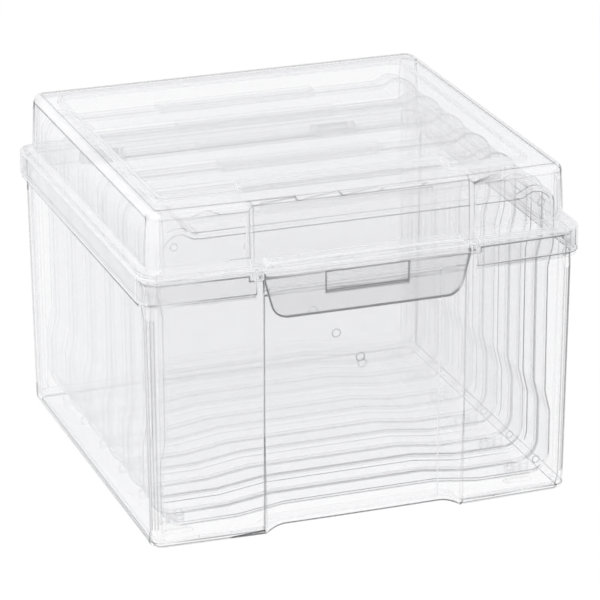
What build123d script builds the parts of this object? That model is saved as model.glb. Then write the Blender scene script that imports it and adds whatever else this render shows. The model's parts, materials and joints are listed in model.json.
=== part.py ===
from build123d import *
import math
import os

os.makedirs("parts", exist_ok=True)

# Driving dimensions, in millimetres. X is across the front, Y goes back, Z goes up from the table.

# tub
tubWidth = 208.0          # outer, at the foot
tubDepth = 201.8          # outer, at the foot, without the bow of the front
frontBow = 2.4            # how far the middle of the front stands out from its corners
tubCorner = 6.4           # vertical corners
tubDraft = 1.7            # how far each wall leans out from the foot to the rim
tubWall = 2.0
tubFloor = 2.2
footRadius = 3.0          # rounding between the walls and the underside
flangeTop = 121.8
flangeThickness = 1.8
flangeInset = 0.7         # the flange's edge lies this far inside the skirt's outside
rimGap = 2.4              # between the rim and the ledge above it

# recess down the tub's front, and the arch under it
recessInset = 0.8         # inside the flap's upper ends
recessDepth = 3.0
recessRamp = 11.3
archRise = 3.5
archReach = 8.0           # how far back the arch goes
bandInset = 1.0           # the band across the top of the recess lies this far behind the front
gateRadius = 2.3
gateHeight = 0.25
gateLine = 1.1
gateSpot = (-1.0, 79.7)   # x and z of the ring on the recess
padLength = 14.0          # shallow oblong hollows under the corners
padWidth = 4.2
padDepth = 0.5
padInsetX = 18.0
padInsetY = 17.5

# lid
skirtGap = 0.3            # between the flange and the skirt
skirtOverhang = 4.2       # skirt outside the tub's foot outline
skirtCorner = 9.6
lidWall = 1.6
ledgeTop = 134.6
ledgeRounding = 1.2
domeInsetX = 1.1          # inside the tub's foot outline, at the ledge
domeInsetFront = 2.0
domeInsetBack = 1.2
domeCorner = 7.8
domeDraft = 1.4
domeTop = 163.6
domeRounding = 4.2
domeBlend = 3.4           # hollow rounding between dome and ledge

# sunk panel in the lid's top
panelInsetX = 13.0        # inside the dome's outline
panelInsetFront = 20.9
panelInsetBack = 11.7
panelSink = 2.0
panelCorner = 4.0
panelNotchMargin = 2.7    # beside the flap
panelNotchDepth = 13.0
panelNotchSlant = 2.4
panelNotchCorner = 3.0

# shallow field down the dome's front
fieldMargin = 4.5         # beside the flap
fieldDepth = 0.8
fieldRamp = 2.2

# hood over the flap's hinge
hoodInset = 0.8           # inside the flap's ends
hoodCorner = 3.0
hoodRise = 2.8            # above the ledge, in the middle
hoodArch = 0.8            # lower at the ends
hoodSlope = 3.0           # degrees

# flap
flapTopHalf = 50.3
flapSlant = 4.9           # narrower at the bottom, on each side
flapShoulder = 2.5        # straight sides at the hinge, before the slant
flapBottom = 109.2
flapThickness = 1.8
flapCorner = 8.5
flapProud = 0.1           # in front of the skirt
flapBarrel = 1.3          # radius
flapPin = 0.8             # radius
flapPinLength = 2.4
flapRootGap = 1.3         # between the barrel and the ledge
flapEndGap = 0.3
bossWidth = 3.3
bossWall = 0.9            # round the pin
bossAnchor = 1.2          # into the skirt beside the opening
hookHalf = 20.5
hookThickness = 1.6
hookGap = 0.3
hookPad = 0.7             # thickening of the flap above the hook

# rear hinges
hingeInset = 42.0         # from the tub's sides to each hinge
hingeEarGap = 0.3
hingeKnuckleWidth = 14.0
hingeEarWidth = 4.0
hingeRadius = 3.3
hingePin = 1.6            # radius
hingeWeb = 2.2
hingeBackGap = 0.3        # between the skirt and the ears
hingeAxisRise = 0.3       # axis above the skirt's lower edge
runningFit = 0.06

# inner cases
caseCount = 6
caseGap = 0.4             # between two cases
caseEndGap = 0.3
caseSideGap = 1.4
caseHeadroom = 5.0        # between the tabs and the lid's panel
caseRest = 5.5            # how far the hinge knuckles hold a case off the floor
caseWall = 1.5
caseCorner = 11.0
caseEdge = 2.6            # rounding of the outer edges
traySharing = 0.575       # part of the thickness that the front half has
seamGap = 0.12
seamFlange = 0.8
seamFlangeThickness = 1.3
sideInset = 2.5
sideRampStart = 31.0      # from the ends of the case
sideRampLength = 10.5
bottomRise = 3.0
bottomRampStart = 37.7    # from the sides of the case
bottomRampEnd = 59.7
topDip = 3.0
topRampStart = 13.2
topRampEnd = 18.4
bendRadius = 10.0
dipRadius = 5.0           # the same bends at the top
tabHalf = 41.0
tabRise = 1.1             # above the case's corners
tabThickness = 1.4
tabRoot = 3.0
tabReach = 4.6            # how far the tab reaches over the front half
tabLip = 1.3
catchGap = 0.25
knuckleInset = 10.2       # from the sides of the case
knuckleWidth = 3.6
knuckleRadius = 1.9
knucklePin = 0.9          # radius
restGap = 0.05
pipRadius = 2.0
pipInset = 8.0
beyond = 20.0             # how far a cutting shape reaches past what it cuts

# Sizes that follow from those above
tubHalf = tubWidth / 2
tubFront = -tubDepth / 2
tubBack = tubDepth / 2
recessHalf = flapTopHalf - recessInset
fieldHalf = flapTopHalf + fieldMargin
hoodHalf = flapTopHalf - hoodInset
flapBottomHalf = flapTopHalf - flapSlant
domeHalf = tubHalf - domeInsetX
domeFront = -tubFront - domeInsetFront
domeBack = tubBack - domeInsetBack
panelHalf = domeHalf - panelInsetX
panelFront = domeFront - panelInsetFront
panelBack = domeBack - panelInsetBack
panelNotchHalf = flapTopHalf + panelNotchMargin
hingeOffset = tubHalf - hingeInset
flangeBottom = flangeTop - flangeThickness
ledgeUnder = ledgeTop - lidWall
rimTop = ledgeUnder - rimGap
wallLean = math.degrees(math.atan(tubDraft / rimTop))
skirtBottom = flangeTop + skirtGap
skirtHalf = tubHalf + skirtOverhang
skirtFront = tubFront - skirtOverhang
skirtBack = tubBack + skirtOverhang
panelTop = domeTop - panelSink
panelUnder = panelTop - lidWall
domeLean = math.degrees(math.atan(domeDraft / (domeTop - ledgeTop)))
flapFace = skirtFront - frontBow - flapProud
flapAxisY = flapFace + flapBarrel
flapAxisZ = ledgeUnder - flapRootGap - flapBarrel
bossRadius = flapPin + runningFit + bossWall
windowHalf = flapTopHalf + flapEndGap + bossWidth
notchHalf = windowHalf + bossAnchor + 1.2
notchTop = flapAxisZ - bossRadius - 0.6
hookTop = flangeBottom - hookGap
hookBack = tubFront - frontBow - tubDraft + bandInset - hookGap
hingeAxisY = skirtBack + hingeBackGap + hingeRadius
hingeAxisZ = skirtBottom + hingeAxisRise
caseHalf = domeHalf - domeDraft - lidWall - caseSideGap - seamFlange
caseLast = domeBack - domeDraft - lidWall - caseEndGap
caseBottom = tubFloor + caseRest
tabTop = panelUnder - caseHeadroom
caseTop = tabTop - tabRise
knuckleZ = tubFloor + restGap + knuckleRadius
backReach = hingeAxisY + hingeRadius
centring = -(flapFace + backReach) / 2      # puts the origin in the middle of the whole case


def bowedY(x, half, front):
    """Y at x of a front that bows from its corners at x = +-half."""
    radius = (half ** 2 + frontBow ** 2) / (2 * frontBow)
    return front - frontBow + radius - math.sqrt(radius ** 2 - x ** 2)


def bowedOutline(half, front, back, corner):
    """Plan of the box: straight sides and back, bowed front, round corners."""
    with BuildSketch() as plan:
        with BuildLine():
            ThreePointArc((-half, front), (0, front - frontBow), (half, front))
            Line((half, front), (half, back))
            Line((half, back), (-half, back))
            Line((-half, back), (-half, front))
        make_face()
        fillet(plan.vertices(), corner)
    return plan.sketch


def straightBlock(outline, bottom, top):
    return extrude(Pos(0, 0, bottom) * outline, amount=top - bottom)


def taperedBlock(outline, bottom, top, angle):
    """Block whose walls lean inwards by `angle` on the way up, or outwards if it is negative."""
    return extrude(Pos(0, 0, bottom) * outline, amount=top - bottom, taper=angle)


def edgesAt(solid, height):
    return solid.edges().filter_by_position(Axis.Z, height - 0.01, height + 0.01)


def tilted(block, y, z, angle):
    """The block turned about a line along X through y, z."""
    return Pos(0, y, z) * Rot(angle, 0, 0) * Pos(0, -y, -z) * block


def cylinderX(x, y, z, radius, length):
    return Pos(x, y, z) * Rot(0, 90, 0) * Cylinder(radius, length)


def boxBetween(x0, x1, y0, y1, z0, z1):
    middle = Pos((x0 + x1) / 2, (y0 + y1) / 2, (z0 + z1) / 2)
    return middle * Box(abs(x1 - x0), abs(y1 - y0), abs(z1 - z0))


# ---- tub

def recessPlan():
    """Plan of the space in front of the recess."""
    foot = recessHalf - recessRamp
    edge = bowedY(recessHalf, tubHalf, tubFront)
    deep = bowedY(foot, tubHalf, tubFront) + recessDepth
    middle = tubFront - frontBow + recessDepth
    with BuildSketch() as plan:
        with BuildLine():
            Line((-recessHalf, edge - beyond), (recessHalf, edge - beyond))
            Line((recessHalf, edge - beyond), (recessHalf, edge))
            TangentArc((foot, deep), (recessHalf, edge), tangent=(1, 0))
            ThreePointArc((foot, deep), (0, middle), (-foot, deep))
            TangentArc((-foot, deep), (-recessHalf, edge), tangent=(-1, 0))
            Line((-recessHalf, edge), (-recessHalf, edge - beyond))
        make_face()
    return plan.sketch


def recessBlock(grow, top):
    plan = recessPlan()
    if grow:
        plan = offset(plan, grow)
    return tilted(straightBlock(plan, -5, top), tubFront, 0, wallLean)


def archBlock(grow):
    """Space under the arch in the front foot, with the same soft shoulders as the recess."""
    half = recessHalf + grow
    foot = recessHalf - recessRamp + grow
    top = archRise + grow
    with BuildSketch(Plane.XZ) as profile:
        with BuildLine():
            Polyline((-half, 0), (-half, -beyond), (half, -beyond), (half, 0))
            TangentArc((foot, top), (half, 0), tangent=(1, 0))
            Line((foot, top), (-foot, top))
            TangentArc((-foot, top), (-half, 0), tangent=(-1, 0))
        make_face()
    reach = archReach + grow + frontBow + beyond
    return Pos(0, tubFront + archReach + grow, 0) * extrude(profile.sketch, amount=reach)


def tubCavity():
    """Inside of the tub."""
    corner = tubCorner - tubWall + 1
    outline = bowedOutline(tubHalf - tubWall, tubFront + tubWall, tubBack - tubWall, corner)
    cavity = taperedBlock(outline, tubFloor, rimTop + 2, -wallLean)
    cavity = fillet(edgesAt(cavity, tubFloor), footRadius - tubWall + 1.2)
    cavity -= recessBlock(tubWall, flangeBottom + tubWall)
    cavity -= archBlock(tubFloor)
    return cavity


def tubFlange():
    """Flange that the skirt comes down on."""
    grow = skirtOverhang - flangeInset
    outer = bowedOutline(tubHalf + grow, tubFront - grow, tubBack + grow, skirtCorner - flangeInset)
    flange = straightBlock(outer, flangeBottom, flangeTop)
    return flange - boxBetween(-windowHalf, windowHalf, 2 * tubFront, 0, 0, rimTop)


def bandRelief():
    """Cuts the band across the recess back a little, and lowers the rim behind the flap's hinge."""
    front = tubFront - tubDraft + bandInset
    plan = bowedOutline(2 * tubHalf, front, 0, 5)
    strip = boxBetween(-recessHalf, recessHalf, 2 * tubFront, tubFront / 2, flangeBottom, rimTop + 1)
    relief = strip - straightBlock(plan, flangeBottom - 1, rimTop + 2)
    return relief + boxBetween(-notchHalf, notchHalf, 2 * tubFront, tubFront / 2, notchTop, rimTop + 1)


def hingeEars():
    """Ears behind the tub and the pins between them."""
    ears = Part()
    span = hingeKnuckleWidth + 2 * hingeEarGap
    for side in (-1, 1):
        middle = side * hingeOffset
        for ear in (-1, 1):
            x = middle + ear * (span + hingeEarWidth) / 2
            ears += cylinderX(x, hingeAxisY, hingeAxisZ, hingeRadius, hingeEarWidth)
            half = hingeEarWidth / 2
            ears += boxBetween(x - half, x + half, tubBack, hingeAxisY, flangeBottom, flangeTop)
        ears += cylinderX(middle, hingeAxisY, hingeAxisZ, hingePin, span + hingeEarWidth)
    return ears


def cornerPads():
    """Shallow oblong hollows under the four corners."""
    pads = Part()
    for sideX in (-1, 1):
        for sideY in (-1, 1):
            place = Pos(sideX * (tubHalf - padInsetX), sideY * (tubBack - padInsetY), 0)
            pads += place * extrude(SlotOverall(padLength, padWidth), amount=padDepth)
    return pads


def ringMark(x, y, z, radius):
    """Raised ring on a front face."""
    ring = Cylinder(radius, gateHeight + 0.4) - Cylinder(radius - gateLine / 2, gateHeight + 2)
    return Pos(x, y + (0.4 - gateHeight) / 2, z) * Rot(90, 0, 0) * ring


def makeTub():
    outline = bowedOutline(tubHalf, tubFront, tubBack, tubCorner)
    tub = taperedBlock(outline, 0, rimTop, -wallLean)
    tub = fillet(edgesAt(tub, 0), footRadius)
    tub -= recessBlock(0, flangeBottom)
    tub += tubFlange()
    tub -= tubCavity()
    tub -= archBlock(0)
    tub -= bandRelief()
    tub -= cornerPads()
    tub += hingeEars()
    x, z = gateSpot
    lean = z * math.tan(math.radians(wallLean))
    tub += ringMark(x, tubFront - frontBow + recessDepth - lean, z, gateRadius)
    return tub


# ---- lid

def panelPlan():
    """Plan of the sunk panel in the lid's top; the border juts into its front."""
    mouth = panelNotchHalf
    foot = mouth - panelNotchSlant
    deep = -panelFront + panelNotchDepth
    with BuildSketch() as plan:
        with BuildLine():
            Polyline(
                (-panelHalf, -panelFront), (-mouth, -panelFront), (-foot, deep), (foot, deep),
                (mouth, -panelFront), (panelHalf, -panelFront), (panelHalf, panelBack),
                (-panelHalf, panelBack), (-panelHalf, -panelFront),
            )
        make_face()
        fillet(plan.vertices().sort_by(Axis.X)[:2] + plan.vertices().sort_by(Axis.X)[-2:], panelCorner)
        fillet(plan.vertices().filter_by(lambda v: abs(v.X) < mouth + 0.1), panelNotchCorner)
    return plan.sketch


def domeBlock(inset, bottom, top):
    """Dome of the lid: its walls lean in a little."""
    plan = bowedOutline(domeHalf - inset, -domeFront + inset, domeBack - inset, domeCorner - inset / 2)
    return taperedBlock(plan, bottom, top, domeLean)


def fieldBlock(grow):
    """Space in front of the shallow field down the dome."""
    half = fieldHalf + grow
    foot = half - fieldRamp
    mouthY = bowedY(half, domeHalf, -domeFront) + grow
    footY = bowedY(foot, domeHalf, -domeFront) + fieldDepth + grow
    middleY = -domeFront - frontBow + fieldDepth + grow
    with BuildSketch() as plan:
        with BuildLine():
            Polyline((-foot, footY), (-half, mouthY), (-half, mouthY - beyond), (half, mouthY - beyond),
                     (half, mouthY), (foot, footY))
            ThreePointArc((foot, footY), (0, middleY), (-foot, footY))
        make_face()
    return tilted(straightBlock(plan.sketch, ledgeTop - 3, domeTop + 5), -domeFront, ledgeTop, -domeLean)


def hoodBlock(inset):
    """Raised, arched middle of the ledge over the flap's hinge."""
    half = hoodHalf - inset
    low = ledgeUnder - inset
    high = ledgeTop + hoodRise - inset
    with BuildSketch(Plane.XZ) as profile:
        with BuildLine():
            Polyline((-half, high - hoodArch), (-half, low - beyond), (half, low - beyond), (half, high - hoodArch))
            ThreePointArc((half, high - hoodArch), (0, high), (-half, high - hoodArch))
        make_face()
        fillet(profile.vertices().sort_by(Axis.Y)[-2:], hoodCorner - inset)
    front = skirtFront - frontBow
    back = -domeFront + lidWall
    block = Pos(0, back + beyond, 0) * extrude(profile.sketch, amount=back - front + 2 * beyond)
    block = tilted(block, front, high, hoodSlope)
    outline = bowedOutline(skirtHalf - inset, skirtFront + inset, 0, skirtCorner - inset)
    room = straightBlock(outline, low, high + beyond)
    return block & room & boxBetween(-half, half, front - beyond, back - 2 * inset, low, high + beyond)


def lidCavity():
    """Inside of the skirt, the dome and the hood."""
    grow = skirtOverhang - lidWall
    low = bowedOutline(tubHalf + grow, tubFront - grow, tubBack + grow, skirtCorner - lidWall)
    cavity = straightBlock(low, skirtBottom - 1, ledgeUnder)
    dome = domeBlock(lidWall, ledgeUnder - 1, domeTop - lidWall)
    dome = fillet(edgesAt(dome, domeTop - lidWall), domeRounding - lidWall)
    dome -= fieldBlock(lidWall)
    dome -= straightBlock(offset(panelPlan(), lidWall), panelUnder, domeTop)
    cavity += dome
    cavity += hoodBlock(lidWall)
    return cavity


def hingeKnuckles():
    """Open rings behind the lid that clip round the tub's pins."""
    knuckles = Part()
    half = hingeKnuckleWidth / 2
    for side in (-1, 1):
        x = side * hingeOffset
        top = hingeAxisZ + hingeRadius
        ring = cylinderX(x, hingeAxisY, hingeAxisZ, hingeRadius, hingeKnuckleWidth)
        ring += boxBetween(x - half, x + half, skirtBack - lidWall / 2, hingeAxisY, top - hingeWeb, top)
        ring -= cylinderX(x, hingeAxisY, hingeAxisZ, hingePin + runningFit, hingeKnuckleWidth + 1)
        mouth = 0.8 * hingePin
        ring -= boxBetween(x - half - 1, x + half + 1, hingeAxisY + 0.4, hingeAxisY + 2 * hingeRadius,
                           hingeAxisZ - mouth, hingeAxisZ + mouth)
        knuckles += ring
    return knuckles


def flapBosses():
    """Bearings for the flap at the ends of its opening."""
    bosses = Part()
    inner = flapTopHalf + flapEndGap
    outer = windowHalf + bossAnchor
    for side in (-1, 1):
        middle = side * (inner + outer) / 2
        boss = cylinderX(middle, flapAxisY, flapAxisZ, bossRadius, outer - inner)
        boss += boxBetween(side * inner, side * outer, flapAxisY - bossRadius, flapAxisY + bossRadius,
                           flapAxisZ, ledgeUnder + lidWall / 2)
        front = skirtFront - frontBow
        boss &= boxBetween(-windowHalf * 2, windowHalf * 2, front + 0.3, 0, 0, domeTop)
        depth = 2 * (flapPinLength + flapEndGap)
        boss -= cylinderX(side * flapTopHalf, flapAxisY, flapAxisZ, flapPin + runningFit, depth)
        bosses += boss
    return bosses


def makeLid():
    outline = bowedOutline(skirtHalf, skirtFront, skirtBack, skirtCorner)
    skirt = straightBlock(outline, skirtBottom, ledgeTop)
    skirt = fillet(edgesAt(skirt, ledgeTop), ledgeRounding)
    dome = domeBlock(0, ledgeTop - 1, domeTop)
    dome = fillet(edgesAt(dome, domeTop), domeRounding)
    lid = skirt + dome
    ring = [e for e in edgesAt(lid, ledgeTop) if abs(e.center().X) < domeHalf + 1]
    ring = [e for e in ring if -domeFront - frontBow - 1 < e.center().Y < domeBack + 1]
    lid = fillet(ring, domeBlend)
    lid -= fieldBlock(0)
    lid += hoodBlock(0)
    lid -= straightBlock(panelPlan(), panelTop, domeTop + 1)
    lid -= lidCavity()
    lid -= boxBetween(-windowHalf, windowHalf, 2 * skirtFront, tubFront + 4, 0, ledgeUnder)
    lid += flapBosses()
    lid += hingeKnuckles()
    return lid


# ---- flap

def makeFlap():
    """Flap with its barrel, end pins and hook."""
    face = bowedOutline(skirtHalf, flapFace + frontBow, 0, 5)
    back = bowedOutline(skirtHalf, flapFace + frontBow + flapThickness, 0, 5)
    plate = straightBlock(face - back, flapBottom, flapAxisZ)
    with BuildSketch(Plane.XZ) as shape:
        with BuildLine():
            shoulder = flapAxisZ - flapShoulder
            Polyline(
                (-flapTopHalf, flapAxisZ), (-flapTopHalf, shoulder), (-flapBottomHalf, flapBottom),
                (flapBottomHalf, flapBottom), (flapTopHalf, shoulder), (flapTopHalf, flapAxisZ),
                (-flapTopHalf, flapAxisZ),
            )
        make_face()
        fillet(shape.vertices().sort_by(Axis.Y)[:2], flapCorner)
        fillet(shape.vertices().filter_by_position(Axis.Y, shoulder - 0.1, shoulder + 0.1), flapCorner)
    flap = plate & Pos(0, flapFace + beyond, 0) * extrude(shape.sketch, amount=2 * beyond)
    flap += cylinderX(0, flapAxisY, flapAxisZ, flapBarrel, 2 * flapTopHalf)
    flap += cylinderX(0, flapAxisY, flapAxisZ, flapPin, 2 * (flapTopHalf + flapPinLength))
    inner = flapFace + flapThickness
    hookBottom = hookTop - hookThickness
    flap += boxBetween(-hookHalf, hookHalf, inner - 0.5, inner + hookPad, hookBottom, flapAxisZ - flapBarrel)
    flap += boxBetween(-hookHalf, hookHalf, inner - 0.5, hookBack, hookBottom, hookTop)
    return flap


# ---- inner cases

def caseProfile(inset):
    """Outline of an inner case seen from the front, with its dips on all four sides."""
    half = caseHalf - inset
    waist = half - sideInset
    rampStart = caseHalf - bottomRampStart
    rampEnd = caseHalf - bottomRampEnd
    dipStart = half - topRampStart
    dipEnd = half - topRampEnd
    low = caseBottom + inset
    high = caseTop - inset
    lowRamp = caseBottom + sideRampStart
    highRamp = caseTop - sideRampStart
    right = [
        (rampEnd, low + bottomRise), (rampStart, low), (half, low), (half, lowRamp),
        (waist, lowRamp + sideRampLength), (waist, highRamp - sideRampLength), (half, highRamp), (half, high),
        (dipStart, high), (dipEnd, high - topDip),
    ]
    left = [(-x, z) for x, z in reversed(right)]
    with BuildSketch(Plane.XZ) as profile:
        with BuildLine():
            Polyline(*(right + left + right[:1]))
        make_face()
        outermost = [v for v in profile.vertices() if abs(v.X) > half - 0.01]
        fillet([v for v in outermost if v.Y < low + 0.01 or v.Y > high - 0.01], caseCorner - inset)
        fillet([v for v in profile.vertices() if isBend(v, waist, low)], bendRadius)
        fillet([v for v in profile.vertices() if abs(v.X) < dipStart + 0.1 and v.Y > high - topDip - 0.1], dipRadius)
    return profile.sketch


def isBend(vertex, waist, low):
    """Whether a vertex is one of the soft bends of the sides or the bottom."""
    x, z = abs(vertex.X), vertex.Y
    onSide = x > waist - 0.01 and caseBottom + sideRampStart - 0.01 < z < caseTop - sideRampStart + 0.01
    onBottom = x < caseHalf - bottomRampStart + 0.01 and z < low + bottomRise + 0.01
    return onSide or onBottom


def slab(profile, front, depth):
    """Slab from y = front towards the back."""
    return Pos(0, front + depth, 0) * extrude(profile, amount=depth)


def caseShell(front, depth, faceAtFront):
    """One half of an inner case: a shallow dish with a flange round its open side."""
    dish = slab(caseProfile(0), front, depth)
    face = front if faceAtFront else front + depth
    dish = fillet(dish.edges().filter_by_position(Axis.Y, face - 0.01, face + 0.01), caseEdge)
    shift = caseWall if faceAtFront else -caseWall
    dish -= slab(caseProfile(caseWall), front + shift, depth)
    start = front + depth - seamFlangeThickness if faceAtFront else front
    flange = slab(caseProfile(-seamFlange), start, seamFlangeThickness)
    flange -= slab(caseProfile(caseWall), start - 1, seamFlangeThickness + 2)
    return dish + flange


def knuckle(x, y, towards, width):
    """Round knuckle under the seam, with a web up to the half it belongs to."""
    bar = cylinderX(x, y, knuckleZ, knuckleRadius, width)
    web = boxBetween(x - width / 2, x + width / 2, y + towards * seamGap, y + towards * knuckleRadius,
                     knuckleZ, caseBottom + caseWall)
    return bar + web


def makeTray(front):
    seam = front + trayDepth
    tray = caseShell(front, trayDepth - seamGap / 2, True)
    tray += ringMark(0, front, (caseBottom + caseTop) / 2, gateRadius)
    for side in (-1, 1):
        for z in (caseBottom + pipInset, caseTop - pipInset):
            tray += ringMark(side * (caseHalf - pipInset), front, z, pipRadius)
        x = side * (caseHalf - knuckleInset)
        for ear in (-1, 1):
            tray += knuckle(x + ear * (knuckleWidth + hingeEarGap), seam, -1, knuckleWidth)
        tray += cylinderX(x, seam, knuckleZ, knucklePin, 3 * knuckleWidth)
    low = caseTop - topDip
    lipBack = seam - tabReach + tabLip
    tray += boxBetween(-tabHalf + 2, tabHalf - 2, lipBack + catchGap, lipBack + catchGap + tabLip,
                       low - caseWall / 2, tabTop - tabThickness - catchGap)
    return tray


def makeCover(front):
    seam = front + trayDepth
    cover = caseShell(seam + seamGap / 2, caseDepth - trayDepth - seamGap / 2, False)
    for side in (-1, 1):
        x = side * (caseHalf - knuckleInset)
        cover += knuckle(x, seam, 1, knuckleWidth)
        cover -= cylinderX(x, seam, knuckleZ, knucklePin + runningFit, knuckleWidth + 1)
    low = caseTop - topDip
    start = seam - tabReach
    cover += boxBetween(-tabHalf, tabHalf, seam + seamGap / 2, seam + tabRoot, low - caseWall / 2, tabTop)
    cover += boxBetween(-tabHalf, tabHalf, start, seam + tabRoot, tabTop - tabThickness, tabTop)
    cover += boxBetween(-tabHalf, tabHalf, start, start + tabLip, low + catchGap + gateHeight, tabTop)
    return cover


caseFirst = bowedY(caseHalf - caseCorner, domeHalf, -domeFront) + domeDraft + lidWall + caseEndGap
casePitch = (caseLast - caseFirst + caseGap) / caseCount
caseDepth = casePitch - caseGap
trayDepth = traySharing * caseDepth

place = Pos(0, centring, 0)
export_step(place * makeTub(), "parts/tub.step")
export_step(place * makeLid(), "parts/lid.step")
export_step(place * makeFlap(), "parts/latch_flap.step")
tray = place * makeTray(caseFirst)
cover = place * makeCover(caseFirst)
for i in range(caseCount):
    shift = Pos(0, i * casePitch, 0)
    export_step(shift * tray, f"parts/case_{i + 1}_tray.step")
    export_step(shift * cover, f"parts/case_{i + 1}_cover.step")
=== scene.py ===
import json
import math

import bmesh
import bpy
from mathutils import Matrix, Vector

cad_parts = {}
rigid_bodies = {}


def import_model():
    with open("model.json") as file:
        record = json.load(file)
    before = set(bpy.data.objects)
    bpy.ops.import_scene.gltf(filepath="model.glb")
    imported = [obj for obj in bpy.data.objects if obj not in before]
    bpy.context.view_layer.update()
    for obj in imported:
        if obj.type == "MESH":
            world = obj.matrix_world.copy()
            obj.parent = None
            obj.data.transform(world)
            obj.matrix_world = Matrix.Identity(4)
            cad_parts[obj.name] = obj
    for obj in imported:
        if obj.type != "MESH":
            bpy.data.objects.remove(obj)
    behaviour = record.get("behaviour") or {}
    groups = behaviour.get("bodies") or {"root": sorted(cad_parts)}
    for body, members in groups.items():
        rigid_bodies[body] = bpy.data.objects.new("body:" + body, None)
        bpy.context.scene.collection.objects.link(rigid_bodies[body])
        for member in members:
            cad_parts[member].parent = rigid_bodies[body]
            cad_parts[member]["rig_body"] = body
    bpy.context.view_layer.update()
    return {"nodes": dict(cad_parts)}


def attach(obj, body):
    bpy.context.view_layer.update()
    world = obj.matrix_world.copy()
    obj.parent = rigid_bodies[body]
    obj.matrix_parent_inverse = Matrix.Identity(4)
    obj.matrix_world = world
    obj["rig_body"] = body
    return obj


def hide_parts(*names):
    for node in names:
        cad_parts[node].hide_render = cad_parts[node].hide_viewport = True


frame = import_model()
scene = bpy.context.scene


# Shader maths: Num wraps a socket, and an expression on it adds Math nodes

class Num:
    def __init__(self, shader, socket):
        self.shader = shader
        self.socket = socket

    def join(self, operation, other):
        return self.shader.node("ShaderNodeMath", {"operation": operation}, {0: self, 1: other})

    def __add__(self, other):
        return self.join("ADD", other)

    def __mul__(self, other):
        return self.join("MULTIPLY", other)

    def __pow__(self, other):
        return self.join("POWER", other)

    __radd__ = __add__
    __rmul__ = __mul__

    def clamped(self):
        return self.join("MAXIMUM", 0.0).join("MINIMUM", 1.0)


class Shader:
    def __init__(self, owner):
        self.owner = owner
        owner.use_nodes = True
        self.tree = owner.node_tree
        self.tree.nodes.clear()

    def node(self, kind, settings=None, values=None, output=0):
        made = self.tree.nodes.new(kind)
        for key, value in (settings or {}).items():
            setattr(made, key, value)
        for key, value in (values or {}).items():
            if isinstance(value, Num):
                self.tree.links.new(value.socket, made.inputs[key])
            else:
                made.inputs[key].default_value = value
        return Num(self, made.outputs[output])

    def attribute(self, name):
        return self.node("ShaderNodeAttribute", {"attribute_name": name}, output=2)

    def ray(self, kind):
        return self.node("ShaderNodeLightPath", output=kind)

    def mix(self, factor, a, b):
        return self.node("ShaderNodeMix", {"data_type": "RGBA"}, {0: factor, 6: a, 7: b}, 2)

    def finish(self, surface, outputKind="ShaderNodeOutputMaterial"):
        out = self.tree.nodes.new(outputKind)
        self.tree.links.new(surface.socket, out.inputs[0])
        return self.owner


def colour(values):
    return (*values, 1.0)


# Clear plastic: nearly invisible face on, denser at grazing angles and in a darker band on the lid's skirt

clearLook = {
    "haze": 0.030,         # how much one wall surface hides, face on
    "sheenHide": 0.45,     # painted reflection: more and brighter towards grazing angles
    "sheenPower": 3.0,
    "sheenGain": 2.0,      # how soon that brightness is full
    "rimHide": 0.4,        # and painted shade, dark at the very edge of a curve
    "rimPower": 12.0,
    "glowHide": 0.35,      # painted highlight: roundings catch the light
    "darkBandGain": 10.0,     # how soon the darker band takes its own grey
    "faceGrey": (0.85, 0.85, 0.88),
    "darkBandGrey": (0.58, 0.58, 0.60),
    "sheenGrey": (0.93, 0.935, 0.96),
    "rimGrey": (0.30, 0.30, 0.32),
    "paintedHighlightGrey": (0.99, 0.99, 1.0),
    "roughness": 0.12,
    "gloss": 0.3,
    "lampPass": 0.75,      # how much of what it hides still lets lamp light through
}


def makeClear(name, **changes):
    look = {**clearLook, **changes}
    s = Shader(bpy.data.materials.new(name))
    facing = s.node("ShaderNodeLayerWeight", None, {"Blend": 0.5}, "Facing")
    # painted reflection: the plastic turns brighter and denser towards grazing angles
    sheen = (facing ** look["sheenPower"]).clamped()
    # painted shade: dark at the very edge of a curve
    rim = (facing ** look["rimPower"]).clamped()
    # a darker, denser band on the lid, painted lighter on the lit left side
    darkBand = s.attribute("darkBand")
    # painted highlight on the roundings, brightest on the lit left side
    glow = s.attribute("glow")
    hide = look["haze"] + darkBand + sheen * look["sheenHide"] + rim * look["rimHide"] + glow * look["glowHide"]
    darkBandShare = (darkBand * look["darkBandGain"]).clamped()
    shiny = (sheen * look["sheenGain"]).clamped()
    shade = s.mix(darkBandShare, colour(look["faceGrey"]), colour(look["darkBandGrey"]))
    shade = s.mix(shiny, shade, colour(look["sheenGrey"]))
    shade = s.mix(rim, shade, colour(look["rimGrey"]))
    shade = s.mix(glow, shade, colour(look["paintedHighlightGrey"]))
    surface = s.node("ShaderNodeBsdfPrincipled", None, {
        "Base Color": shade,
        "Roughness": look["roughness"],
        "Specular IOR Level": look["gloss"],
        "Alpha": hide.clamped(),
    })
    through = s.node("ShaderNodeBsdfTransparent")
    lampShare = s.ray("Is Shadow Ray") * look["lampPass"]
    return s.finish(s.node("ShaderNodeMixShader", None, {0: lampShare, 1: surface, 2: through}))


# Edge line colours: dark is painted shade, bright is painted highlight
edgeLook = {
    "darkHide": 0.5,       # how much a dark edge line, painted shade, hides
    "darkGrey": (0.06, 0.06, 0.065),
    "brightHide": 0.85,
    "brightGrey": (0.98, 0.98, 1.0),
    "roughness": 0.3,
}


def makeEdge(name):
    s = Shader(bpy.data.materials.new(name))
    shine = s.attribute("shine")
    hide = edgeLook["darkHide"] + shine * (edgeLook["brightHide"] - edgeLook["darkHide"])
    surface = s.node("ShaderNodeBsdfPrincipled", None, {
        "Base Color": s.mix(shine, colour(edgeLook["darkGrey"]), colour(edgeLook["brightGrey"])),
        "Roughness": edgeLook["roughness"],
        "Specular IOR Level": 0.0,
        "Alpha": (hide * s.attribute("strength")).clamped(),
    })
    return s.finish(surface)


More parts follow.
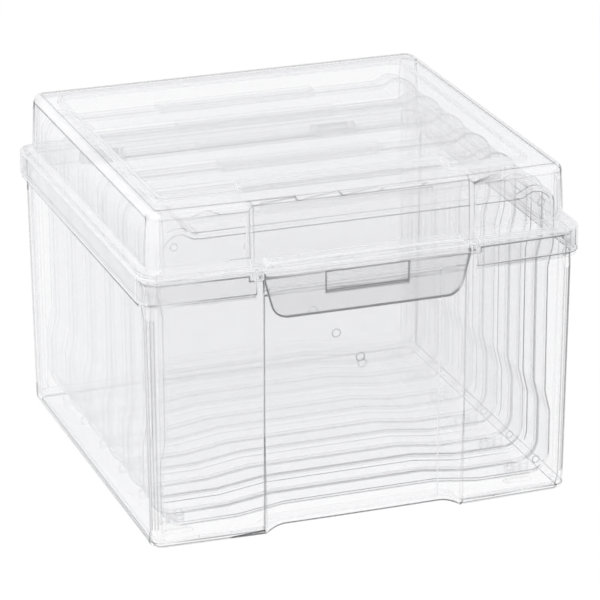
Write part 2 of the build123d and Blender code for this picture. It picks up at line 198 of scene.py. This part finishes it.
clearTub = makeClear("clearTub", glowHide=0.12)
clearLid = makeClear("clearLid")
clearCase = makeClear("clearCase", haze=0.033, rimHide=0.35, glowHide=0.08)
frostedFlap = makeClear("frostedFlap", haze=0.24, roughness=0.35, glowHide=0.0, rimHide=0.2,
                        faceGrey=(0.62, 0.62, 0.64))
edgeMaterial = makeEdge("paintedEdgeLines")
print("materials made")


# Edge lines: thin light and dark lines along a piece's edges, as clear plastic shows them; the dark ones are
# painted shade, the light ones painted highlights

lineRules = {
    "sharpAngle": 13.0,      # degrees over which an edge always shows
    "fullAngle": 40.0,       # and over which it shows fully
    "softAngle": 1.2,        # degrees over which the start of a rounding shows
    "flatWidth": 0.0026,     # how wide a face is that counts as a flat
    "facetWidth": 0.0019,    # how wide the facets of a rounding are at most
    "largestBend": 0.009,    # radius of the roundings that begin to show
    "thinWidth": 0.0021,     # an edge of a thinner flange counts as thin
    "hollowShare": 0.4,      # an inward corner shows less than an outward one
    "straight": 0.9,         # how close to an axis counts as along it
    "frontShare": 0.1,       # an upright corner's line beside the front or back shows less
    "faintest": 0.03,        # a weaker line is left out
    "depth": 1.2,            # how far a line lies under the surface, in its own radii
    "sides": 4,
}

lineLook = {                 # how strongly each kind of edge shows, and the radius of its line
    "tub": {"sharp": 0.95, "thin": 0.08, "soft": 0.9, "corner": 1.0, "radius": 0.00038},
    "lid": {"sharp": 0.6, "thin": 0.40, "soft": 0.7, "corner": 1.0, "radius": 0.00033},
    "latch_flap": {"sharp": 0.95, "thin": 0.95, "soft": 0.0, "corner": 0.0, "radius": 0.00036},
    "case_1": {"sharp": 0.40, "thin": 0.34, "soft": 0.80, "corner": 0.95, "radius": 0.00029},
    "case_2": {"sharp": 0.22, "thin": 0.24, "soft": 0.46, "corner": 0.52, "radius": 0.00028},
    "case_3": {"sharp": 0.16, "thin": 0.18, "soft": 0.34, "corner": 0.36, "radius": 0.00026},
    "case": {"sharp": 0.10, "thin": 0.12, "soft": 0.20, "corner": 0.22, "radius": 0.00023},
}

quietZones = [               # low corner, high corner, how much of the lines is left there
    ((-0.056, -0.0995, 0.0), (0.056, -0.0900, 0.0066), 0.0),       # back edges of the arch
    ((0.045, -0.12, 0.012), (0.065, -0.0955, 0.125), 0.35),        # right side of the recess
    ((0.085, -0.098, 0.0), (0.12, 0.12, 0.0085), 0.25),            # floor, on the right
    ((-0.12, 0.085, 0.0), (0.12, 0.12, 0.0085), 0.3),              # floor, at the back
    ((-0.101, -0.12, 0.0), (-0.085, 0.12, 0.16), 0.35),            # left sides of the cases, the lit side, where the painted lines show less
    ((-0.105, -0.0955, 0.136), (0.105, -0.06, 0.155), 0.15),       # top of the front case
]

brightZones = [              # low corner, high corner: edges of the lid that catch the light, whose lines are painted highlights
    ((-0.0935, -0.0845, 0.1570), (0.0935, 0.1000, 0.1645)),        # panel
    ((-0.0560, -0.0965, 0.1570), (0.0560, -0.0800, 0.1645)),       # panel's notch
    ((-0.1200, -0.1200, 0.1285), (0.1200, 0.1200, 0.1400)),        # ledge
    ((-0.1200, -0.1200, 0.1180), (-0.1055, 0.1200, 0.1330)),       # left side of the skirt
]


def makeEdgeTree():
    tree = bpy.data.node_groups.new("edgeLines", "GeometryNodeTree")
    for name, way, kind in (("Geometry", "INPUT", "Geometry"), ("Line Radius", "INPUT", "Float"),
                            ("Sides", "INPUT", "Int"), ("Geometry", "OUTPUT", "Geometry")):
        tree.interface.new_socket(name, in_out=way, socket_type="NodeSocket" + kind)
    start = tree.nodes.new("NodeGroupInput")
    curve = tree.nodes.new("GeometryNodeMeshToCurve")
    ring = tree.nodes.new("GeometryNodeCurvePrimitiveCircle")
    sweep = tree.nodes.new("GeometryNodeCurveToMesh")
    real = tree.nodes.new("GeometryNodeRealizeInstances")
    dye = tree.nodes.new("GeometryNodeSetMaterial")
    dye.inputs["Material"].default_value = edgeMaterial
    end = tree.nodes.new("NodeGroupOutput")
    link = tree.links.new
    link(start.outputs["Geometry"], curve.inputs["Mesh"])
    link(start.outputs["Line Radius"], ring.inputs["Radius"])
    link(start.outputs["Sides"], ring.inputs["Resolution"])
    link(curve.outputs["Curve"], sweep.inputs["Curve"])
    link(ring.outputs["Curve"], sweep.inputs["Profile Curve"])
    link(sweep.outputs["Mesh"], real.inputs["Geometry"])
    link(real.outputs["Geometry"], dye.inputs["Geometry"])
    link(dye.outputs["Geometry"], end.inputs["Geometry"])
    return tree


edgeTree = makeEdgeTree()


def faceWidth(face, edge):
    start = edge.verts[0].co
    along = (edge.verts[1].co - start).normalized()
    return max(((v.co - start) - (v.co - start).dot(along) * along).length for v in face.verts)


def middleOf(edge):
    return edge.verts[0].co.lerp(edge.verts[1].co, 0.5)


def isInside(place, low, high):
    return all(l < p < h for l, p, h in zip(low, place, high))


def lineStrength(edge, look):
    if len(edge.link_faces) != 2:
        return 0.0
    angle = math.degrees(edge.calc_face_angle(0.0))
    if angle < lineRules["softAngle"]:
        return 0.0
    narrow, wide = sorted(faceWidth(face, edge) for face in edge.link_faces)
    middle = middleOf(edge)
    left = min([share for low, high, share in quietZones if isInside(middle, low, high)], default=1.0)
    if angle > lineRules["sharpAngle"]:
        hollow = lineRules["hollowShare"] if edge.calc_face_angle_signed(0.0) < 0 else 1.0
        isThin = narrow < lineRules["thinWidth"] and angle > lineRules["fullAngle"]
        return min(1.0, angle / lineRules["fullAngle"]) * look["thin" if isThin else "sharp"] * hollow * left
    if wide < lineRules["flatWidth"] or narrow > lineRules["facetWidth"]:
        return 0.0
    flat = max(edge.link_faces, key=lambda face: faceWidth(face, edge))
    along = (edge.verts[1].co - edge.verts[0].co).normalized()
    if abs(along.z) > lineRules["straight"]:
        onSide = abs(flat.normal.x) > lineRules["straight"]
        return left * look["corner"] * (1.0 if onSide else lineRules["frontShare"])
    bend = narrow / (2 * math.radians(angle))
    return max(0.0, 1 - bend / lineRules["largestBend"]) * look["soft"] * left


def edgeLines(nodeName, bm, body):
    look = next(value for key, value in lineLook.items() if nodeName.startswith(key))
    radius = look["radius"]
    centre = sum((v.co for v in bm.verts), Vector()) / len(bm.verts)
    lowest = [min(v.co[i] for v in bm.verts) + radius for i in range(3)]
    highest = [max(v.co[i] for v in bm.verts) - radius for i in range(3)]
    places = {}
    points, pairs, strengths, shines = [], [], [], []
    for edge in bm.edges:
        strength = lineStrength(edge, look)
        if strength < lineRules["faintest"]:
            continue
        middle = middleOf(edge)
        normal = sum((face.normal for face in edge.link_faces), Vector()).normalized()
        # painted light: lines in the lid's bright zones and on faces turned toward the piece's centre are
        # painted highlights, the other lines painted shade
        isLit = nodeName == "lid" and any(isInside(middle, low, high) for low, high in brightZones)
        isDark = (middle - centre).dot(normal) > 0 and not isLit
        ends = []
        for v in edge.verts:
            if v.index not in places:
                places[v.index] = len(points)
                inner = v.co - v.normal * radius * lineRules["depth"]
                points.append([min(max(a, b), c) for a, b, c in zip(inner, lowest, highest)])
                strengths.append(strength)
                shines.append(0.0 if isDark else 1.0)
            ends.append(places[v.index])
        pairs.append(ends)
    mesh = bpy.data.meshes.new(nodeName + "_edges")
    mesh.from_pydata(points, pairs, [])
    mesh.attributes.new("strength", "FLOAT", "POINT").data.foreach_set("value", strengths)
    mesh.attributes.new("shine", "FLOAT", "POINT").data.foreach_set("value", shines)
    line = bpy.data.objects.new(nodeName + "_edges", mesh)
    scene.collection.objects.link(line)
    modifier = line.modifiers.new("lines", "NODES")
    modifier.node_group = edgeTree
    ids = {item.name: item.identifier for item in edgeTree.interface.items_tree if item.in_out == "INPUT"}
    modifier[ids["Line Radius"]] = radius
    modifier[ids["Sides"]] = lineRules["sides"]
    baked = bpy.data.meshes.new_from_object(line.evaluated_get(bpy.context.evaluated_depsgraph_get()))
    line.modifiers.clear()
    line.data = baked
    line.visible_shadow = False
    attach(line, body)
    print("edges of", nodeName, "faces", len(baked.polygons))


# Visible walls: a copy of each CAD piece, with a darker band on the lid's skirt and painted highlights on
# the roundings

skinLook = {
    "mergeDistance": 0.00002,
    "flatAngle": 0.3,        # degrees under which two facets count as one flat
    "creaseAngle": 35.0,     # degrees over which shading stays sharp
    "normalWeight": 100,
}

darkBandZones = [               # low corner, high corner, how much more a surface of the lid hides there
    ((-0.12, -0.12, 0.1218), (0.12, 0.12, 0.1340), 0.10),          # skirt
    ((-0.056, -0.12, 0.1370), (0.056, -0.085, 0.1600), 0.02),      # dome above the flap
]

darkBandLook = {
    "litShare": 0.35,        # the left side is the lit one, so the band is painted lighter there
    "litTurn": -0.7,         # x of the normal under which a face is on that side
}

paintedHighlightLook = {
    "roundTurn": 0.985,      # a face turned this far from all three axes is part of a rounding
    "roundSpan": 0.06,
    "plainShare": 0.5,       # a rounding that isn't on the lit left side gets less painted highlight
    "leftTurn": -0.2,
    "rightTurn": 0.2,
    "skirtTop": 0.1340,
    "panelSide": 0.094,      # the walls round the lid's sunk panel get the full painted highlight
    "panelFront": -0.0965,
    "panelUnder": 0.1592,
    "panelSlope": 0.5,
}


# Darker band at a face of the lid: less on the left, lit side, which is painted light
def darkBandAt(face):
    share = darkBandLook["litShare"] if face.normal.x < darkBandLook["litTurn"] else 1.0
    return share * sum(more for low, high, more in darkBandZones if isInside(face.center, low, high))


# Painted highlight of a face: full on the sunk panel's walls and on roundings facing the lit left side, half
# on other roundings, none on the skirt's right side
def paintedHighlightOf(face, nodeName):
    place, normal = face.center, face.normal
    isLid = nodeName == "lid"
    onPanel = abs(place.x) < paintedHighlightLook["panelSide"] and place.y > paintedHighlightLook["panelFront"]
    isUpright = abs(normal.z) < paintedHighlightLook["panelSlope"]
    if isLid and onPanel and isUpright and place.z > paintedHighlightLook["panelUnder"]:
        return 1.0
    onSkirt = isLid and place.z < paintedHighlightLook["skirtTop"]
    most = paintedHighlightLook["plainShare"]
    if onSkirt and normal.x > paintedHighlightLook["rightTurn"]:
        most = 0.0
    elif normal.x < paintedHighlightLook["leftTurn"] and not onSkirt:
        most = 1.0
    turned = (paintedHighlightLook["roundTurn"] - max(abs(n) for n in normal)) / paintedHighlightLook["roundSpan"]
    return min(most, max(0.0, turned))


def dressNode(nodeName, material, lampShadow):
    source = frame["nodes"][nodeName]
    mesh = source.data.copy()
    mesh.name = nodeName + "_skin"
    for stale in ("custom_normal", "sharp_edge", "sharp_face"):    # wrong once facets are joined
        if stale in mesh.attributes:
            mesh.attributes.remove(mesh.attributes[stale])
    bm = bmesh.new()
    bm.from_mesh(mesh)
    bmesh.ops.remove_doubles(bm, verts=bm.verts, dist=skinLook["mergeDistance"])
    flatAngle = math.radians(skinLook["flatAngle"])
    bmesh.ops.dissolve_limit(bm, angle_limit=flatAngle, verts=bm.verts, edges=bm.edges)
    bm.normal_update()
    bm.verts.index_update()
    edgeLines(nodeName, bm, source["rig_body"])
    bmesh.ops.triangulate(bm, faces=bm.faces)
    bm.to_mesh(mesh)
    bm.free()
    # the lid's darker band, and painted highlights on the roundings
    darkBands = [darkBandAt(face) if nodeName == "lid" else 0.0 for face in mesh.polygons]
    paintedHighlights = [paintedHighlightOf(face, nodeName) for face in mesh.polygons]
    mesh.attributes.new("darkBand", "FLOAT", "FACE").data.foreach_set("value", darkBands)
    mesh.attributes.new("glow", "FLOAT", "FACE").data.foreach_set("value", paintedHighlights)
    mesh.materials.clear()
    mesh.materials.append(material)
    mesh.polygons.foreach_set("material_index", [0] * len(mesh.polygons))
    mesh.polygons.foreach_set("use_smooth", [True] * len(mesh.polygons))
    mesh.set_sharp_from_angle(angle=math.radians(skinLook["creaseAngle"]))
    piece = bpy.data.objects.new(nodeName + "_skin", mesh)
    scene.collection.objects.link(piece)
    weigh = piece.modifiers.new("weigh", "WEIGHTED_NORMAL")
    weigh.keep_sharp = True
    weigh.weight = skinLook["normalWeight"]
    piece.visible_shadow = lampShadow
    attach(piece, source["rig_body"])
    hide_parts(nodeName)
    print("dressed", nodeName, len(mesh.polygons), "faces")


for nodeName in sorted(frame["nodes"]):
    if nodeName.startswith("case"):
        dressNode(nodeName, clearCase, False)
    elif nodeName == "latch_flap":
        dressNode(nodeName, frostedFlap, False)
    else:
        dressNode(nodeName, clearLid if nodeName == "lid" else clearTub, True)


# Floor, light and camera

stageLook = {
    "floorSize": 12.0,
    "floorGrey": (0.96, 0.96, 0.96),
    "white": (1.0, 1.0, 1.0),
    "floorWhite": 1.03,      # how bright the floor's own white is
    "floorShare": 0.9,       # how much of it is seen, over the floor's shadows
    "worldStrength": 0.55,
    "aim": (0, 0, 0.08),
}

lamps = {                    # place, size, power
    "keyLamp": ((-0.9, -0.7, 1.3), (0.9, 0.9), 14.0),
    "fillLamp": ((1.3, -0.6, 0.8), (0.8, 1.2), 6.0),
}

view = {
    "place": (-0.5430, -1.53624, 0.68933),
    "yaw": 19.65,            # degrees from straight in front, towards the left
    "pitch": 20.69,          # degrees down
    "roll": -0.25,
    "lens": 213.77,          # millimetres on a 36 mm frame
    "sensor": 36,
    "nearest": 0.05,
    "farthest": 50,
}


def makeFloor():
    s = Shader(bpy.data.materials.new("studioWhite"))
    seen = (s.ray("Is Camera Ray") + s.ray("Is Glossy Ray") + s.ray("Is Transmission Ray")).clamped()
    plain = s.node("ShaderNodeBsdfDiffuse", None, {"Color": colour(stageLook["floorGrey"])})
    white = s.node("ShaderNodeEmission", None, {
        "Color": colour(stageLook["white"]), "Strength": stageLook["floorWhite"],
    })
    material = s.finish(s.node("ShaderNodeMixShader", None, {
        0: seen * stageLook["floorShare"], 1: plain, 2: white,
    }))
    half = stageLook["floorSize"] / 2
    corners = [(-half, -half, 0), (half, -half, 0), (half, half, 0), (-half, half, 0)]
    mesh = bpy.data.meshes.new("floor")
    mesh.from_pydata(corners, [], [(0, 1, 2, 3)])
    mesh.materials.append(material)
    floor = bpy.data.objects.new("floor", mesh)
    scene.collection.objects.link(floor)


def makeWorld():
    s = Shader(bpy.data.worlds.new("studio"))
    light, backdrop = (
        s.node("ShaderNodeBackground", None, {0: colour(stageLook["white"]), 1: strength})
        for strength in (stageLook["worldStrength"], 1.0)
    )
    seen = s.ray("Is Camera Ray").join("MAXIMUM", s.ray("Is Glossy Ray"))
    mixed = s.node("ShaderNodeMixShader", None, {0: seen, 1: light, 2: backdrop})
    scene.world = s.finish(mixed, "ShaderNodeOutputWorld")


def makeLamp(name, place, size, power):
    data = bpy.data.lights.new(name, "AREA")
    data.shape = "RECTANGLE"
    data.size, data.size_y = size
    data.energy = power
    lamp = bpy.data.objects.new(name, data)
    lamp.location = place
    lamp.rotation_euler = (Vector(stageLook["aim"]) - Vector(place)).to_track_quat("-Z", "Y").to_euler()
    scene.collection.objects.link(lamp)


def makeCamera():
    yaw, pitch, roll = (math.radians(view[key]) for key in ("yaw", "pitch", "roll"))
    forward = Vector((math.sin(yaw) * math.cos(pitch), math.cos(yaw) * math.cos(pitch), -math.sin(pitch)))
    right = Vector((math.cos(yaw), -math.sin(yaw), 0))
    up = right.cross(forward)
    right, up = math.cos(roll) * right + math.sin(roll) * up, math.cos(roll) * up - math.sin(roll) * right
    data = bpy.data.cameras.new("camera")
    data.lens = view["lens"]
    data.sensor_width = view["sensor"]
    data.sensor_fit = "HORIZONTAL"
    data.clip_start = view["nearest"]
    data.clip_end = view["farthest"]
    camera = bpy.data.objects.new("camera", data)
    turn = Matrix((right, up, -forward)).transposed()
    camera.matrix_world = Matrix.Translation(view["place"]) @ turn.to_4x4()
    scene.collection.objects.link(camera)
    scene.camera = camera


makeFloor()
makeWorld()
for name, values in lamps.items():
    makeLamp(name, *values)
makeCamera()
scene.view_settings.view_transform = "Standard"
scene.cycles.transparent_max_bounces = 96     # the walls behind each other
scene.cycles.max_bounces = 4
scene.cycles.diffuse_bounces = 2
scene.cycles.glossy_bounces = 2
print("stage made")
